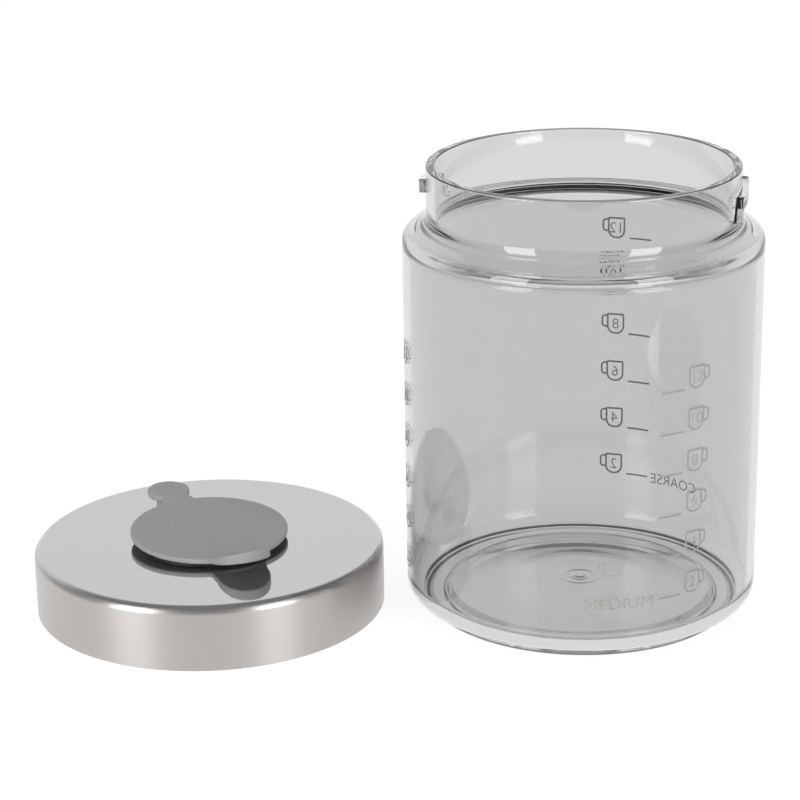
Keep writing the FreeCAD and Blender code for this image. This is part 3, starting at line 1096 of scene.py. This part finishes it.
    def build(self) -> bpy.types.Object:
        """Build the moulding, soften its joins and set it in its place on the lid; return it."""
        mesh = bmesh.new()
        for add in (self.disc, self.tab, self.strap, self.button, self.tilt, self.stem):
            add(mesh)
        piece = new_object("silicone_cap", mesh)
        remesh = piece.modifiers.new("one_moulding", "REMESH")
        remesh.mode = "VOXEL"
        remesh.voxel_size = self.voxel * MM
        soften = piece.modifiers.new("soften", "SMOOTH")
        soften.factor = 0.5
        soften.iterations = 5
        apply_modifiers(piece)
        piece.data.shade_smooth()
        turn = math.radians(self.lid.tether_deg - 180)
        piece.matrix_world = Matrix.Translation(self.lid.place()) @ Matrix.Rotation(turn, 4, "Z")
        dress(piece, self.finish.material())
        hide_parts("outlet_cap", "cap_anchor")
        towards = Vector((math.cos(turn), math.sin(turn), 0))
        hinge = self.lid.place() - towards * self.hinge_offset * MM
        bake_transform(piece)
        return piece


@dataclass
class LidInside:
    """The liner and the seal ring, whose CAD shapes are right and only take their finish."""

    liner_finish: MouldedPolypropylene = field(default_factory=MouldedPolypropylene)
    seal_finish: MouldedSilicone = field(
        default_factory=lambda: MouldedSilicone("silicone_seal_pale", "c9c9c6", 0.55))

    def build(self) -> list[bpy.types.Object]:
        """Dress the two CAD nodes and return them."""
        nodes = [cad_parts["lid_insert"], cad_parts["seal_ring"]]
        for node, finish in zip(nodes, (self.liner_finish, self.seal_finish)):
            dress(node, finish.material())
        return nodes


# Studio


@dataclass
class Studio:
    """White table and backdrop, two softboxes behind the camera, and the camera itself."""

    focal_px: float = 2524.9
    frame_px: float = 800.0
    eye: Corner = (0.0, -675.74, 290.41)
    yaw: float = -0.0758
    pitch_down: float = 0.3299
    roll: float = -0.0154
    table_half_width: float = 1500.0
    table_front: float = 520.0
    table_back: float = 3000.0
    table_lift: float = 0.88
    table_plain: float = 0.3
    room_level: float = 0.4
    ceiling_level: float = 0.3
    softbox_deg: float = 45.0
    softbox_distance: float = 1100.0
    softbox_height: float = 250.0
    softbox_watts: float = 9.0
    softbox_size: Point = (450.0, 1100.0)

    def camera(self) -> None:
        """Add the camera that the photograph was fitted to."""
        data = bpy.data.cameras.new("camera")
        data.sensor_width = 36.0
        data.lens = self.focal_px / self.frame_px * data.sensor_width
        data.clip_start = 0.05
        data.clip_end = 50.0
        ahead = Vector((math.sin(self.yaw) * math.cos(self.pitch_down),
                        math.cos(self.yaw) * math.cos(self.pitch_down), -math.sin(self.pitch_down)))
        right = Vector((math.cos(self.yaw), -math.sin(self.yaw), 0))
        up = right.cross(ahead)
        axis_x = right * math.cos(self.roll) + up * math.sin(self.roll)
        axis_y = up * math.cos(self.roll) - right * math.sin(self.roll)
        turn = Matrix((axis_x, axis_y, -ahead)).transposed().to_4x4()
        camera = bpy.data.objects.new("camera", data)
        camera.matrix_world = Matrix.Translation(Vector(self.eye) * MM) @ turn
        bpy.context.scene.collection.objects.link(camera)
        bpy.context.scene.camera = camera

    def floor(self) -> None:
        """Add the white table, which shows its colour to the eye and keeps part of the shadow."""
        mesh = bmesh.new()
        half, front, back = self.table_half_width, self.table_front, self.table_back
        corners = [(-half, -front), (half, -front), (half, back), (-half, back)]
        mesh.faces.new([mesh.verts.new((x * MM, y * MM, -0.05 * MM)) for x, y in corners])
        floor = new_object("table", mesh)
        material, tree = empty_material("table_white")
        path = add_node(tree, "ShaderNodeLightPath")
        sees = add_node(tree, "ShaderNodeMath", {"operation": "MAXIMUM"}, {
            0: path.outputs["Is Camera Ray"], 1: path.outputs["Is Glossy Ray"],
        })
        sees_all = add_node(tree, "ShaderNodeMath", {"operation": "MAXIMUM"}, {
            0: sees.outputs[0], 1: path.outputs["Is Transmission Ray"],
        })
        share = add_node(tree, "ShaderNodeMath", {"operation": "MULTIPLY", 1: 1 - self.table_plain}, {
            0: sees_all.outputs[0],
        })
        plain = add_node(tree, "ShaderNodeBsdfDiffuse", {"Color": linear("f4f4f4")})
        white = add_node(tree, "ShaderNodeEmission", {
            "Color": (1, 1, 1, 1),
            "Strength": self.table_lift / (1 - self.table_plain),
        })
        mixed = add_node(tree, "ShaderNodeMixShader", links={
            0: share.outputs[0], 1: plain.outputs[0], 2: white.outputs[0],
        })
        add_node(tree, "ShaderNodeOutputMaterial", links={"Surface": mixed.outputs[0]})
        dress(floor, material)

    def world(self) -> None:
        """Add the room: a white backdrop behind the jar, a dim room on the camera's side and ceiling."""
        world = bpy.data.worlds.new("studio")
        bpy.context.scene.world = world
        world.use_nodes = True
        tree = world.node_tree
        tree.nodes.clear()
        place = add_node(tree, "ShaderNodeTexCoord")
        parts = add_node(tree, "ShaderNodeSeparateXYZ", links={0: place.outputs["Generated"]})
        behind = add_node(tree, "ShaderNodeMapRange", {
            "interpolation_type": "SMOOTHSTEP", "From Min": 0.1, "From Max": 0.8,
            "To Min": self.room_level, "To Max": 1.0,
        }, {"Value": parts.outputs["Y"]})
        above = add_node(tree, "ShaderNodeMapRange", {
            "interpolation_type": "SMOOTHSTEP", "From Min": 0.5, "From Max": 0.85,
        }, {"Value": parts.outputs["Z"]})
        level = add_node(tree, "ShaderNodeMix", {3: self.ceiling_level}, {
            0: above.outputs[0], 2: behind.outputs[0],
        })
        path = add_node(tree, "ShaderNodeLightPath")
        shown = add_node(tree, "ShaderNodeMath", {"operation": "MAXIMUM"}, {
            0: level.outputs[0], 1: path.outputs["Is Camera Ray"],
        })
        room = add_node(tree, "ShaderNodeBackground", {"Color": (1, 1, 1, 1)}, {
            "Strength": shown.outputs[0],
        })
        add_node(tree, "ShaderNodeOutputWorld", links={"Surface": room.outputs[0]})

    def softboxes(self) -> None:
        """Add one softbox on each side behind the camera."""
        for side in (-1, 1):
            data = bpy.data.lights.new("softbox", "AREA")
            data.shape = "RECTANGLE"
            data.size = self.softbox_size[0] * MM
            data.size_y = self.softbox_size[1] * MM
            data.energy = self.softbox_watts
            angle = math.radians(self.softbox_deg) * side
            place = Vector((math.sin(angle), -math.cos(angle), 0)) * self.softbox_distance * MM
            place.z = self.softbox_height * MM
            lamp = bpy.data.objects.new("softbox", data)
            lamp.location = place
            lamp.rotation_euler = (math.radians(90), 0, angle)
            bpy.context.scene.collection.objects.link(lamp)

    def build(self) -> None:
        """Set up the whole studio."""
        self.camera()
        self.floor()
        self.world()
        self.softboxes()
        bpy.context.scene.view_settings.view_transform = "Standard"


def report(piece: bpy.types.Object) -> None:
    """Log a piece with its number of faces."""
    LOG.info("%s: %d faces", piece.name, len(piece.data.polygons))


def main() -> None:
    """Build the studio and every piece, in order."""
    logging.basicConfig(level=logging.INFO, format="%(name)s %(message)s")
    Studio().build()
    jar = Jar()
    report(jar.build())
    # The print is one grey ink made as two copies that carry painted light. The pale copy is that ink with
    # painted light, for the front scale that faces the lamps. The dark copy is the same ink with painted
    # shade, for the scales at the back and the side.
    painted_lit_ink = PadPrintInk("pad_print_ink_painted_light", "9d9a95", "a5a29d")
    painted_shade_ink = PadPrintInk("pad_print_ink_painted_shade", "5c5a58", "676562")
    scales = [
        CupScale("MEDIUM", 19.0, 37.6, 17.8, 11.7, jar, painted_lit_ink),
        CupScale("COARSE", 17.0, 168.1, 19.5, 14.8, jar, painted_shade_ink),
        CupScale("FINE", 10.5, -78.0, 12.0, 12.2, jar, painted_shade_ink),
    ]
    for scale in scales:
        report(scale.build())
    lid = LidShell()
    report(lid.build())
    report(OutletCap(lid).build())
    for node in LidInside().build():
        report(node)


if __name__ == "__main__":
    main()
